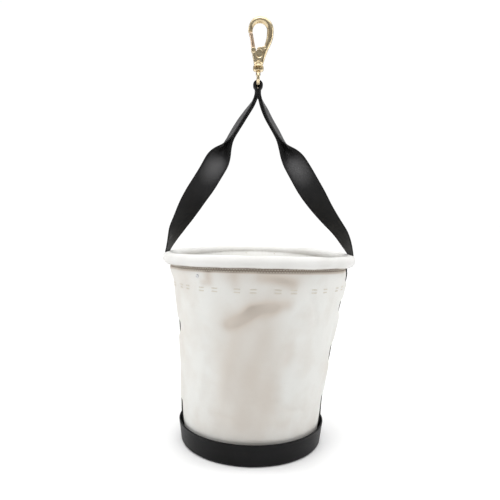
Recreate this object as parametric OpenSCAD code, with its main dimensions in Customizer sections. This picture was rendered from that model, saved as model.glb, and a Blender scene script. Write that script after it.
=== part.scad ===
/* [Pan] */
// Outer radius of the moulded pan at its lip
pan_lip_r = 119.4; // [118:0.1:122]
// Outer radius of the pan's wall where it would meet the floor line
pan_foot_r = 115.6; // [115.6:0.1:117]
// Height of the pan
pan_h = 37; // [30:1:45]
// Thickness of the pan's wall and floor
pan_t = 3; // [2.6:0.1:3]
// Outer corner radius round the pan's foot
pan_corner_r = 5; // [4:0.5:5]
// Radius of the shallow recess under the pan
pan_recess_r = 96; // [80:1:100]
// Number of radial ribs in the recess
pan_ribs = 12; // [6:1:16]

/* [Canvas] */
// Thickness of the canvas wall and bottom
canvas_t = 2; // [1.5:0.1:2]
// Outer radius of the canvas at its bottom edge
canvas_foot_r = 109; // [108:0.1:109]
// Outer radius of the canvas at its top edge
canvas_top_r = 142; // [141:0.1:142]
// Height of the canvas's top edge
canvas_top_z = 299; // [298:0.1:299]

/* [Rim] */
// Outer radius of the whole rim, which is the bucket's widest size
rim_r = 156; // [155.8:0.1:156.2]
// Radius of the rolled rim's section
roll_r = 8.9; // [8.8:0.1:9]
// Radius of the stiff hoop inside the roll
hoop_r = 5; // [4.5:0.1:5]
// Height of the middle of the roll
rim_z = 306.6; // [306.4:0.1:306.8]
// Lowest point of the hem sewn inside the wall
hem_z = 288; // [288:1:294]

/* [Pockets] */
// Number of pockets round the inside
pocket_count = 15; // [10:1:15]
// Height of the pockets' closed lower ends
pocket_z0 = 120; // [100:1:150]
// Height of the pockets' mouths
pocket_z1 = 265; // [240:1:270]
// Half the width of one pocket
pocket_half_w = 15; // [12:0.5:15]
// Thickness of the pocket cloth
pocket_t = 1.5; // [1.2:0.1:1.6]
// Turn of the first pocket's middle from the front
pocket_phase = 3.5; // [0:0.5:20]

/* [Webbing] */
// Width of the webbing
web_w = 38; // [36:1:38]
// Thickness of the webbing
web_t = 2.2; // [1.8:0.1:2.2]
// Height of the line that the handle swings about
swing_z = 322; // [322:0.5:324]
// Height of the top end of each strap leg
leg_top_z = 560; // [560:1:562]

/* [Snap hook] */
// Height of the middle of the wire that the strap loop holds
eye_z = 579.5; // [579:0.5:580]
// Radius of the eye's wire
wire_r = 2.7; // [2.5:0.1:2.7]
// Radius of the swivel stem
stem_r = 3.25; // [3:0.05:3.25]
// Height of the underside of the swivel collar
collar_z = 601.2; // [601.2:0.2:602]
// Thickness of the hook from front to back
hook_t = 9; // [8:0.5:9]
// Radius of the gate's pin
gate_pin_r = 1.5; // [1.2:0.1:1.5]

/* [Hidden] */
gap = 0.1;               // between pieces that lie against each other
run_gap = 0.05;          // radial clearance of a pin or stem that turns
curve_fn = 96;
small_fn = 48;
overall_h = 687;

canvas_z0 = pan_t + web_t + 4 * gap;
wall_slope = (canvas_top_r - canvas_foot_r) / (canvas_top_z - canvas_z0);
wall_tilt = atan(wall_slope);
function wall_r(z) = canvas_foot_r + wall_slope * (z - canvas_z0);
function wall_in(z) = wall_r(z) - canvas_t;

rim_c = rim_r - roll_r;  // radius of the circle that the roll's middle follows
web_arc_r = hoop_r + 0.3 + web_t / 2;

pitch = 360 / pocket_count;
pocket_depth = 4;        // how far in from the wall the round front's middle stands
pocket_back = 1.3;       // where the pocket's straight sides stop short of the wall
tack_turn = 7.2;         // turn of each bar tack from its pocket's middle

gate_x = -8.3;           // the gate's pivot, from the hook's middle line
gate_z = 634.5;
gate_reach = 28.2;       // from the pivot to the gate's tip
bow_x = 1.2;             // middle of the hook's round bow
bow_z = overall_h - 21.2;
bow_r = 21.2;
loop_r = 8.5;
loop_hole_r = 4.2;
loop_z = eye_z - (loop_hole_r - wire_r) + 0.3;
neck_z = loop_z - loop_r;

ivory = "#e6e2d6";
white = "#f2f1ec";
black = "#1c1c1e";
brass = "#c9a25c";
steel = "#8d8f92";

POCKETS = [for (k = [0 : pocket_count - 1]) str("pocket_", k < 9 ? "0" : "", k + 1)];

// A band of revolution between two radii that follow the wall's slope
module wall_band(z0, z1, inner, outer) {
    polygon([
        [wall_r(z0) + inner, z0],
        [wall_r(z0) + outer, z0],
        [wall_r(z1) + outer, z1],
        [wall_r(z1) + inner, z1]
    ]);
}

// Turns a profile from one angle to another about the bucket's axis
module turned(from, to) {
    rotate([0, 0, from])
        rotate_extrude(angle = to - from, $fn = curve_fn)
            children();
}

// ---- Pan ----

// Points of a quarter round from straight down to straight out
function foot_arc(middle, r) = [for (a = [-90 : 15 : 0]) middle + r * [cos(a), sin(a)]];

module pan_profile() {
    recess_h = 1.2;
    middle = [pan_foot_r - pan_corner_r, pan_corner_r];
    outside = foot_arc(middle, pan_corner_r);
    inside = foot_arc(middle, pan_corner_r - pan_t);
    polygon(concat(
        [[0, recess_h], [pan_recess_r, recess_h], [pan_recess_r, 0]],
        outside,
        [[pan_lip_r, pan_h], [pan_lip_r - pan_t, pan_h]],
        [for (i = [len(inside) - 1 : -1 : 0]) inside[i]],
        [[0, pan_t]]
    ));
}

module base_pan() {
    rib_w = 2.4;
    rib_from = 20;
    rib_low = 0.2;
    color(black) {
        rotate_extrude($fn = curve_fn)
            pan_profile();
        for (k = [0 : pan_ribs - 1])
            rotate([0, 0, k * 360 / pan_ribs])
                translate([rib_from, -rib_w / 2, rib_low])
                    cube([pan_recess_r + 2 - rib_from, rib_w, pan_t / 2]);
    }
}

module pan_rivets() {
    ring_r = 78;
    under = 0.5;
    top = canvas_z0 + canvas_t;
    color(steel)
        for (turn = [45 : 90 : 315])
            rotate([0, 0, turn])
                translate([ring_r, 0, under]) {
                    cylinder(h = 0.7, r = 5, $fn = small_fn);
                    cylinder(h = top - under, r = 2, $fn = small_fn);
                    translate([0, 0, top - under])
                        cylinder(h = 1.2, r = 5.5, $fn = small_fn);
                }
}

// ---- Canvas ----

module canvas_bottom() {
    color(ivory)
        translate([0, 0, canvas_z0])
            cylinder(h = canvas_t, r = wall_in(canvas_z0) - gap, $fn = curve_fn);
}

module canvas_half(from) {
    seam = 0.05;
    color(ivory)
        turned(from + seam, from + 180 - seam)
            wall_band(canvas_z0, canvas_top_z, -canvas_t, 0);
}

module canvas_front() {
    canvas_half(180);
}

module canvas_back() {
    canvas_half(0);
}

// A tack that would lie under a side strap is left out
module bar_tacks() {
    tack_deg = 0.7;
    tack_h = 7;
    strap_deg = 9;
    color(white)
        for (k = [0 : pocket_count - 1], side = [-1, 1]) {
            turn = -90 + pocket_phase + k * pitch + side * tack_turn;
            if (abs(sin(turn)) > sin(strap_deg))
                turned(turn - tack_deg / 2, turn + tack_deg / 2)
                    wall_band(pocket_z1 - tack_h / 2, pocket_z1 + tack_h / 2, 0.02, 0.6);
        }
}

module wall_rivet() {
    rivet_z = 284;
    rivet_turn = -90 - 40;
    color(steel)
        rotate([0, 0, rivet_turn])
            translate([wall_r(rivet_z), 0, rivet_z])
                rotate([0, 90 + wall_tilt, 0]) {
                    translate([0, 0, gap])
                        cylinder(h = 1, r1 = 3.4, r2 = 2.4, $fn = small_fn);
                    translate([0, 0, -canvas_t - 0.5])
                        cylinder(h = canvas_t + 1, r = 1.2, $fn = small_fn);
                    translate([0, 0, -canvas_t - 1.1])
                        cylinder(h = 0.9, r = 3, $fn = small_fn);
                }
}

// ---- Pockets ----

// Plan of one pocket's round front, with the wall on the +X side
module pocket_plan(inset) {
    r = pocket_half_w - inset;
    translate([-pocket_depth, 0])
        circle(r = r, $fn = small_fn);
    translate([-pocket_depth, -r])
        square([pocket_depth - pocket_back + inset, 2 * r]);
}

module pocket(k) {
    turn = -90 + pocket_phase + k * pitch;
    height = (pocket_z1 - pocket_z0) / cos(wall_tilt);
    flat_from = 6.1;
    flat_to = pitch / 2 - 0.05;
    keep_back = 2 * pocket_half_w;
    color(ivory)
        rotate([0, 0, turn]) {
            translate([wall_in(pocket_z0), 0, pocket_z0])
                rotate([0, wall_tilt, 0]) {
                    linear_extrude(height = height)
                        intersection() {
                            difference() {
                                pocket_plan(0);
                                pocket_plan(pocket_t);
                            }
                            translate([-pocket_back - keep_back, -keep_back])
                                square([keep_back, 2 * keep_back]);
                        }
                    linear_extrude(height = pocket_t)
                        intersection() {
                            pocket_plan(0.2);
                            translate([-pocket_back - keep_back, -keep_back])
                                square([keep_back, 2 * keep_back]);
                        }
                }
            for (side = [[-flat_to, -flat_from], [flat_from, flat_to]])
                turned(side[0], side[1])
                    wall_band(pocket_z0, pocket_z1,
                              -canvas_t - gap - pocket_t, -canvas_t - gap);
        }
}

// ---- Rim ----

module rim_hoop() {
    color(black)
        rotate_extrude($fn = curve_fn)
            translate([rim_c, rim_z])
                circle(r = hoop_r, $fn = small_fn);
}

module rim_binding() {
    hem_t = 1.5;
    color(white)
        difference() {
            union() {
                rotate_extrude($fn = curve_fn)
                    difference() {
                        translate([rim_c, rim_z])
                            circle(r = roll_r, $fn = small_fn);
                        translate([rim_c, rim_z])
                            circle(r = hoop_r + gap, $fn = small_fn);
                    }
                rotate_extrude($fn = curve_fn)
                    wall_band(hem_z, rim_z - 3, -canvas_t - gap - hem_t, -canvas_t - gap);
            }
            for (side = [0, 180])
                rotate([0, 0, side])
                    riser_solid(gap);
        }
}

module rim_stitching() {
    thread_r = 0.45;
    clear_deg = 8.6;
    color(ivory)
        for (z = [292.5, 295.5], half = [0, 180])
            turned(half + clear_deg, half + 180 - clear_deg)
                translate([wall_r(z) + thread_r + 0.02, z])
                    circle(r = thread_r, $fn = 16);
}

// ---- Webbing on the bucket ----

// Middle line of a riser in its own plane: up the wall, under and round the hoop, and out at the top
riser_turn_z = 291;
riser_from = [wall_r(riser_turn_z) + gap + web_t / 2, riser_turn_z];
riser_to_hoop = [rim_c, rim_z] - riser_from;
riser_lead = atan2(riser_to_hoop[1], riser_to_hoop[0])
    - asin(web_arc_r / norm(riser_to_hoop));
riser_exit_z = 315.6;
function riser_line() = concat(
    [[wall_r(pan_t + gap) + gap + web_t / 2, pan_t + gap], riser_from],
    [for (a = [riser_lead - 90 : 7.5 : 0])
        [rim_c + web_arc_r * cos(a), rim_z + web_arc_r * sin(a)]],
    [[rim_c + web_arc_r, rim_z], [rim_c + web_arc_r, riser_exit_z]]);

// Unit normal of a line of points at one of them, taken from its neighbours
function line_normal(line, i) =
    let (a = line[max(i - 1, 0)],
         b = line[min(i + 1, len(line) - 1)],
         d = (b - a) / norm(b - a))
    [d[1], -d[0]];

module riser_solid(grow) {
    line = riser_line();
    half = web_t / 2 + grow;
    outer = [for (i = [0 : len(line) - 1]) line[i] + half * line_normal(line, i)];
    inner = [for (i = [len(line) - 1 : -1 : 0]) line[i] - half * line_normal(line, i)];
    intersection() {
        turned(-14, 14)
            polygon(concat(outer, inner));
        translate([0, -web_w / 2 - grow, 0])
            cube([2 * rim_r, web_w + 2 * grow, overall_h]);
    }
}

module strap_riser_left() {
    color(black)
        rotate([0, 0, 180])
            riser_solid(0);
}

module strap_riser_right() {
    color(black)
        riser_solid(0);
}

module under_strap() {
    reach = wall_r(pan_t);
    color(black)
        translate([0, 0, pan_t + gap])
            intersection() {
                cylinder(h = web_t, r = reach, $fn = curve_fn);
                translate([-reach, -web_w / 2, 0])
                    cube([2 * reach, web_w, web_t]);
            }
}

module riser_stitching() {
    thread = 0.8;
    inset = 4;
    color(ivory)
        for (side = [0, 180], y = [-1, 1])
            rotate([0, 0, side])
                intersection() {
                    turned(-12, 12)
                        wall_band(45, 288, gap + web_t + 0.1, gap + web_t + 0.6);
                    translate([0, y * (web_w / 2 - inset) - thread / 2, 0])
                        cube([rim_r, thread, overall_h]);
                }
}

// ---- Webbing of the handle ----

// The leg's middle line is one cubic curve in the X-Z plane
leg_points = [[153, 313], [150, 338], [112, 376], [4.6, leg_top_z]];
leg_rings = 36;
leg_start = 0.14;
function cubic(p, t) = pow(1 - t, 3) * p[0] + 3 * pow(1 - t, 2) * t * p[1]
    + 3 * (1 - t) * t * t * p[2] + t * t * t * p[3];
function cubic_way(p, t) = 3 * pow(1 - t, 2) * (p[1] - p[0])
    + 6 * (1 - t) * t * (p[2] - p[1]) + 3 * t * t * (p[3] - p[2]);
function unit(v) = v / norm(v);
function smooth(a, b, x) = let (s = min(max((x - a) / (b - a), 0), 1)) s * s * (3 - 2 * s);
function mix(a, b, s) = a + (b - a) * s;

fold_from = 470;         // where the flat webbing is folded in half lengthwise
fold_to = 500;
foot_w = 9;              // width of the leg's foot, which turns on the swing line
function leg_width(z) = mix(mix(foot_w, web_w, smooth(swing_z, swing_z + 70, z)),
                            web_w / 2, smooth(fold_from, fold_to, z));
function leg_thickness(z) = mix(web_t, 2 * web_t, smooth(fold_from, fold_to, z));
function leg_twist(z) = 90 * smooth(swing_z, swing_z + 85, z)
    * (1 - smooth(fold_to, leg_top_z - 12, z));

// The four corners of the leg's section at t along its middle line
function leg_ring(t) =
    let (c = cubic(leg_points, t),
         d = unit(cubic_way(leg_points, t)),
         z = c[1],
         a = leg_twist(z),
         across = [-d[1] * sin(a), cos(a), d[0] * sin(a)],
         through = cross([d[0], 0, d[1]], across),
         w = across * leg_width(z) / 2,
         h = through * leg_thickness(z) / 2,
         m = [c[0], 0, c[1]])
    [m - w - h, m + w - h, m + w + h, m - w + h];

function sleeve_faces(rings, n) = concat(
    [[for (k = [0 : n - 1]) k]],
    [for (i = [0 : rings - 2], k = [0 : n - 1])
        let (a = i * n + k, b = i * n + (k + 1) % n)
        each [[a, b + n, b], [a, a + n, b + n]]],
    [[for (k = [n - 1 : -1 : 0]) (rings - 1) * n + k]]);

module strap_leg() {
    rings = [for (i = [0 : leg_rings]) leg_ring(mix(leg_start, 1, i / leg_rings))];
    foot_x = cubic(leg_points, leg_start)[0];
    color(black) {
        polyhedron(points = [for (r = rings) each r],
                   faces = sleeve_faces(leg_rings + 1, 4), convexity = 6);
        translate([foot_x - web_t / 2, 0, swing_z])
            rotate([0, 90, 0])
                cylinder(h = web_t, r = foot_w / 2, $fn = small_fn);
    }
}

module strap_leg_right() {
    strap_leg();
}

module strap_leg_left() {
    mirror([1, 0, 0])
        strap_leg();
}

// The neck stands on the sloping ends of both legs and narrows up to the loop
leg_end_way = unit(cubic_way(leg_points, 1));
leg_end_rise = -leg_end_way[0] / leg_end_way[1];
crotch_z = leg_top_z - leg_points[3][0] * leg_end_rise + 2 * gap;
neck_foot_half = 7.3;
neck_low = [neck_foot_half, crotch_z + neck_foot_half * leg_end_rise];
neck_high = [2 * web_t + gap, neck_z + 2];

module strap_loop() {
    loop_w = 13.5;
    color(black) {
        rotate([90, 0, 0])
            linear_extrude(height = web_w / 2, center = true)
                polygon([
                    [0, crotch_z],
                    neck_low,
                    neck_high,
                    [-neck_high[0], neck_high[1]],
                    [-neck_low[0], neck_low[1]]
                ]);
        rotate([90, 0, 0])
            linear_extrude(height = loop_w, center = true)
                difference() {
                    union() {
                        translate([0, loop_z])
                            circle(r = loop_r, $fn = small_fn);
                        translate([-neck_high[0], neck_z])
                            square([2 * neck_high[0], 3]);
                    }
                    translate([0, loop_z])
                        circle(r = loop_hole_r, $fn = small_fn);
                }
    }
}

module neck_stitching() {
    tack_h = 4.5;
    tack_w = 13;
    tack_t = 0.6;
    flank = neck_high - neck_low;
    from = neck_low + 0.2 * flank;
    color(black)
        for (side = [0, 180])
            rotate([0, 0, side])
                translate([from[0] + gap, -tack_w / 2, from[1]])
                    rotate([0, atan(flank[0] / flank[1]), 0])
                        cube([tack_t, tack_w, tack_h]);
}

// ---- Swivel snap ----

// Quarter turns and bars of wire that make the closed eye, in the Y-Z plane
module swivel_eye() {
    bar = 7;
    bend_r = 8;
    top_z = collar_z - wire_r - 1;
    low = eye_z + bend_r;
    high = top_z - bend_r;
    color(brass) {
        for (z = [eye_z, top_z])
            translate([0, 0, z])
                rotate([90, 0, 0])
                    cylinder(h = 2 * bar, r = wire_r, center = true, $fn = small_fn);
        for (side = [-1, 1])
            translate([0, side * (bar + bend_r), low])
                cylinder(h = high - low, r = wire_r, $fn = small_fn);
        for (corner = [[bar, low, -90], [bar, high, 0], [-bar, high, 90], [-bar, low, 180]])
            translate([0, corner[0], corner[1]])
                rotate([90, 0, 90])
                    rotate([0, 0, corner[2]])
                        rotate_extrude(angle = 90, $fn = small_fn)
                            translate([bend_r, 0])
                                circle(r = wire_r, $fn = small_fn);
        translate([0, 0, top_z])
            cylinder(h = collar_z + 15.6 - top_z, r = stem_r, $fn = small_fn);
        translate([0, 0, collar_z + 12.4])
            cylinder(h = 3.2, r = 4.8, $fn = small_fn);
    }
}

// Plan of the hook in the X-Z plane, without its bores
module hook_plan() {
    difference() {
        union() {
            translate([bow_x, bow_z])
                circle(r = bow_r, $fn = curve_fn);
            translate([gate_x, gate_z])
                circle(r = 4.8, $fn = small_fn);
            polygon([
                [-7.6, 612],
                [7.6, 612],
                [11, 625],
                [15.2, 635.5],
                [18.4, 645],
                [21.4, 656],
                [22.4, 666],
                [0, 666],
                [-8, 640],
                [-12, 631],
                [-11, 624]
            ]);
        }
        translate([bow_x, bow_z - 0.4])
            circle(r = 11.4, $fn = curve_fn);
        polygon([
            [-4, 638.4],
            [6.4, 638.4],
            [10.6, 646],
            [12.6, 656],
            [12.6, bow_z - 0.4],
            [-10.2, bow_z - 0.4]
        ]);
        intersection() {
            translate([gate_x, gate_z])
                circle(r = gate_reach + 0.4, $fn = curve_fn);
            translate([-40, gate_z + 4])
                square([40, 40]);
        }
    }
}

module hook_body() {
    collar_h = 12;
    collar_r = 9;
    slot_half = 3.3;
    window_z = collar_z + collar_h;
    color(brass)
        difference() {
            union() {
                rotate([90, 0, 0])
                    linear_extrude(height = hook_t, center = true)
                        hook_plan();
                translate([0, 0, collar_z])
                    cylinder(h = collar_h, r = collar_r, $fn = small_fn);
            }
            translate([0, 0, collar_z - 1])
                cylinder(h = collar_h + 2, r = stem_r + run_gap, $fn = small_fn);
            translate([-5.4, -collar_r, window_z])
                cube([10.8, 2 * collar_r, 5]);
            translate([gate_x, 0, gate_z])
                rotate([90, 0, 0])
                    cylinder(h = 2 * slot_half, r = 4.7, center = true, $fn = small_fn);
            rotate([90, 0, 0])
                linear_extrude(height = 2 * slot_half, center = true)
                    polygon([
                        [gate_x - 6, gate_z],
                        [gate_x + 4.7, gate_z],
                        [-1.6, gate_z + 7],
                        [gate_x - 6, gate_z + 7]
                    ]);
            translate([gate_x, 0, gate_z])
                rotate([90, 0, 0])
                    cylinder(h = 2 * hook_t, r = gate_pin_r, center = true, $fn = small_fn);
            for (face = [-1, 1])
                translate([1.4, face * hook_t / 2, 629])
                    rotate([90, 0, 0])
                        cylinder(h = 1.4, r = 6, center = true, $fn = small_fn);
        }
}

module gate_pin() {
    head_r = 2.5;
    head_h = 0.8;
    color(steel)
        translate([gate_x, 0, gate_z])
            rotate([90, 0, 0]) {
                cylinder(h = hook_t, r = gate_pin_r, center = true, $fn = small_fn);
                for (face = [-1, 1])
                    translate([0, 0, face * (hook_t + head_h) / 2])
                        cylinder(h = head_h, r = head_r, center = true, $fn = small_fn);
            }
}

module gate_spring() {
    turns = 3;
    spring_wire_r = 0.3;
    color(steel)
        for (k = [0 : turns - 1])
            translate([gate_x, (k - 1) * 2.2 * spring_wire_r, gate_z])
                rotate([90, 0, 0])
                    rotate_extrude($fn = small_fn)
                        translate([2.2, 0])
                            circle(r = spring_wire_r, $fn = 16);
}

module gate() {
    half_t = 3.1;
    groove_half = 1.1;
    color(brass)
        difference() {
            rotate([90, 0, 0])
                linear_extrude(height = 2 * half_t, center = true) {
                    translate([gate_x, gate_z])
                        circle(r = 4.3, $fn = small_fn);
                    intersection() {
                        translate([gate_x, gate_z])
                            circle(r = gate_reach, $fn = curve_fn);
                        polygon([
                            [gate_x - 4, gate_z + 1],
                            [gate_x + 4, gate_z + 1],
                            [gate_x + 2.2, gate_z + 6],
                            [-10.6, gate_z + 32],
                            [-15.8, gate_z + 32],
                            [gate_x - 3, gate_z + 6]
                        ]);
                    }
                }
            translate([gate_x, 0, gate_z])
                rotate([90, 0, 0]) {
                    cylinder(h = hook_t, r = gate_pin_r + run_gap, center = true,
                             $fn = small_fn);
                    cylinder(h = 2 * groove_half, r = 2.8, center = true, $fn = small_fn);
                }
        }
}

base_pan();
pan_rivets();
under_strap();
canvas_bottom();
canvas_front();
canvas_back();
rim_hoop();
rim_binding();
rim_stitching();
strap_riser_left();
strap_riser_right();
riser_stitching();
bar_tacks();
wall_rivet();
for (k = [0 : pocket_count - 1])
    pocket(k);
strap_leg_left();
strap_leg_right();
strap_loop();
neck_stitching();
swivel_eye();
hook_body();
gate_pin();
gate_spring();
gate();
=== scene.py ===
import math

import bmesh
import bpy
import numpy as np
from mathutils import Euler, Matrix, Vector


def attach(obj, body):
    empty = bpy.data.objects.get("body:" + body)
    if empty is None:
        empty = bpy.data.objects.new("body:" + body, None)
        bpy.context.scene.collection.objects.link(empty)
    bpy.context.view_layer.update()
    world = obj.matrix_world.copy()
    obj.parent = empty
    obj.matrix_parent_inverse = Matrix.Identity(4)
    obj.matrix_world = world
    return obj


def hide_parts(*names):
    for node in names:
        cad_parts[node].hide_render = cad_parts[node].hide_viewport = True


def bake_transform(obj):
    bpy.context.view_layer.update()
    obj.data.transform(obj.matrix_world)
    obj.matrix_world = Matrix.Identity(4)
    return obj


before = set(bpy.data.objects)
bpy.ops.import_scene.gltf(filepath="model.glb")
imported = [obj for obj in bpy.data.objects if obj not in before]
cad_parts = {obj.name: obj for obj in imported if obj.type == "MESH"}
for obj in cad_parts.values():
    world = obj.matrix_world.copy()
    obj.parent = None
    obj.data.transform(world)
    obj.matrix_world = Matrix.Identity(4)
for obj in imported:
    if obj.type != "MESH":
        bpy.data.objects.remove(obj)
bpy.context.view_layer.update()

scene = bpy.context.scene
MM = 0.001
DEG = math.pi / 180

# ------------ sizes, in millimetres

PAN_H, PAN_T = 35.6, 3.0
PAN_LIP_R, PAN_FOOT_R, PAN_CORNER_R, PAN_RECESS_R = 119.4, 115.6, 5.0, 96.0
CANVAS_T, CANVAS_Z0, CANVAS_TOP_Z = 2.0, 5.6, 299.0
FOOT_R, TOP_R = 109.0, 142.0
# The radius that turns azimuths into millimetres on the cloth
FLAT_R = 128.0
RIM_C, RIM_Z, ROLL_R, HOOP_R = 147.1, 306.6, 8.9, 5.0
HEM_Z = 288.0
# How dark the painted shade on the roll's underside is towards its seam, 0 to 2
UNDER_ROLL_SHADE = 1.15
WEB_W, WEB_T, LEG_T = 38.0, 2.2, 2.1
STRAP_R = RIM_C + HOOP_R + 0.3 + WEB_T / 2
POCKETS, POCKET_Z0, POCKET_Z1 = 15, 120.0, 265.0
# Degrees from one pocket to the next, and from the front to the first
PITCH, PHASE = 24.0, 3.5
# A bar tack: threads in a row, the step between them and the gap between its two rows
TACK_ROW, TACK_STEP, TACK_GAP = 13, 0.75, 4.6
EYE_Z, WIRE_R = 579.5, 2.7
COLLAR_Z = 601.2
GATE_X, GATE_Z, GATE_REACH = -8.3, 634.5, 28.2
BOW_X, BOW_Z, BOW_R = 1.2, 665.8, 16.3

# ------------ numbers


def smooth(a, b, x):
    s = np.clip((np.asarray(x, float) - a) / (b - a), 0, 1)
    return s * s * (3 - 2 * s)


def hill(a, b, c, d, x):
    """Up from 0 to 1 between a and b, and down again between c and d."""
    return smooth(a, b, x) * (1 - smooth(c, d, x))


def wrap(angle):
    """An angle in radians brought between -pi and pi."""
    return (angle + math.pi) % (2 * math.pi) - math.pi


def unit(v):
    v = np.asarray(v, float)
    return v / np.linalg.norm(v, axis=-1, keepdims=True)


def arc(cx, cy, r, start, end, count):
    """Points on part of a circle, between two angles in degrees."""
    return [(cx + r * math.cos(a * DEG), cy + r * math.sin(a * DEG))
            for a in np.linspace(start, end, count)]


def run(line):
    """How far along a line each of its points is."""
    return np.concatenate([[0], np.cumsum(np.linalg.norm(np.diff(line, axis=0), axis=1))])


def left_of(line):
    """The way to the left of a flat line at each of its points."""
    way = unit(np.gradient(line, axis=0))
    return np.stack([-way[:, 1], way[:, 0]], -1)


def softened(values, rounds):
    """Values drawn towards their neighbours a number of times, the ends apart."""
    for _ in range(rounds):
        values[1:-1] = (values[:-2] + 2 * values[1:-1] + values[2:]) / 4
    return values


def waves(seed, turn, z, count=10, turns=(2, 14), rise=(0.01, 0.05)):
    """A smooth seeded ripple over a turn in radians and a height, about -1 to 1."""
    rng = np.random.default_rng(seed)
    out = np.zeros(np.broadcast(turn, z).shape)
    for k in range(count):
        n = rng.integers(turns[0], turns[1] + 1)
        m = rng.uniform(*rise) * rng.choice([-1, 1])
        out += np.cos(n * turn + m * z + rng.uniform(0, 2 * math.pi)) * rng.uniform(0.5, 1)
    return out / (0.6 * math.sqrt(count) * 1.6)


# ------------ shaders


class Nodes:
    """Short names for the nodes of a material or world."""

    def __init__(self, owner):
        owner.use_nodes = True
        self.tree = owner.node_tree

    def node(self, kind, links=(), **props):
        n = self.tree.nodes.new("ShaderNode" + kind)
        for key, value in props.items():
            setattr(n, key, value)
        for key, value in dict(links).items():
            if isinstance(value, bpy.types.NodeSocket):
                self.tree.links.new(value, n.inputs[key])
            else:
                n.inputs[key].default_value = value
        return n

    def math(self, op, a, b=0.0):
        return self.node("Math", {0: a, 1: b}, operation=op).outputs[0]

    def mix(self, share, a, b):
        return self.node("Mix", {0: share, 6: a, 7: b}, data_type="RGBA").outputs[2]

    def span(self, value, low, high, to_low=0.0, to_high=1.0, kind="LINEAR"):
        return self.node("MapRange", {0: value, 1: low, 2: high, 3: to_low, 4: to_high},
                         interpolation_type=kind).outputs[0]

    def tint(self, colour, other, share, value, start, full):
        """A colour with none of another where a value is at start, and a share of it at full."""
        return self.mix(self.span(value, start, full, 0.0, share), colour, other)

    def noise(self, vector, scale, detail=3.0, rough=0.5):
        n = self.node("TexNoise", {"Vector": vector, "Scale": scale, "Detail": detail,
                                   "Roughness": rough})
        return n.outputs["Fac"]

    def coords(self, kind="Object"):
        return self.node("TexCoord").outputs[kind]

    def attribute(self, name):
        return self.node("Attribute", attribute_name=name).outputs["Fac"]

    def split(self, vector):
        return self.node("SeparateXYZ", {0: vector}).outputs

    def scaled(self, vector, x, y, z=1.0):
        return self.node("VectorMath", {0: vector, 1: (x, y, z)}, operation="MULTIPLY").outputs[0]

    def bump(self, height, distance, strength=1.0, under=None):
        links = {"Height": height, "Distance": distance, "Strength": strength}
        if under is not None:
            links["Normal"] = under
        return self.node("Bump", links).outputs[0]


class Shade(Nodes):
    """A principled material."""

    def __init__(self, name, **values):
        self.mat = bpy.data.materials.new(name)
        super().__init__(self.mat)
        self.bsdf = self.tree.nodes["Principled BSDF"]
        for key, value in values.items():
            self.bsdf.inputs[key.replace("_", " ")].default_value = value

    def set(self, key, socket):
        self.tree.links.new(socket, self.bsdf.inputs[key])


def rgb(r, g, b):
    return (r, g, b, 1.0)


def weave_height(s, uv, pitch):
    """Over and under threads of a plain weave, from UV in metres."""
    wobble = s.noise(uv, 240.0, 2.0)
    x, y, _ = s.split(uv)
    shift = s.math("MULTIPLY", s.math("SUBTRACT", wobble, 0.5), 1.6)
    a = s.math("SINE", s.math("ADD", s.math("MULTIPLY", x, math.pi / pitch), shift))
    b = s.math("SINE", s.math("ADD", s.math("MULTIPLY", y, math.pi / pitch), shift))
    both = s.math("MULTIPLY", a, b)
    return s.math("ADD", s.math("ABSOLUTE", both), s.math("MULTIPLY", both, 0.35))


def canvas_shade(name, base, tint, pitch=0.00085, weave=0.00018):
    s = Shade(name, Roughness=0.9, Sheen_Weight=0.12, Sheen_Roughness=0.6,
              Specular_IOR_Level=0.25)
    place = s.coords("Object")
    uv = s.coords("UV")
    woven = weave_height(s, uv, pitch)
    cloud = s.noise(place, 14.0, 4.0, 0.55)
    speck = s.noise(s.scaled(uv, 1.0, 0.25), 900.0, 2.0, 0.6)
    colour = s.tint(base, tint, 0.4, cloud, 0.42, 0.68)
    # Each point's stains, with painted shade in the creases, from 0 to 1
    stain_and_painted_light = s.attribute("stain_and_painted_light")
    colour = s.tint(colour, tint, 0.9, stain_and_painted_light, 0.0, 1.0)
    # Painted shadow colour for values from 1 to 2, used under the roll
    colour = s.tint(colour, rgb(0.26, 0.21, 0.17), 1.0, stain_and_painted_light, 1.0, 2.0)
    colour = s.tint(colour, rgb(*[0.72 * c for c in base[:3]]), 0.12, woven, 1.2, 0.0)
    colour = s.tint(colour, rgb(0.45, 0.36, 0.24), 0.35, speck, 0.66, 0.82)
    s.set("Base Color", colour)
    s.set("Roughness", s.span(cloud, 0.3, 0.7, 0.84, 0.96))
    under = s.bump(s.noise(place, 60.0, 3.0), 0.0006, 0.5)
    s.set("Normal", s.bump(woven, weave, 0.8, under))
    return s.mat


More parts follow.
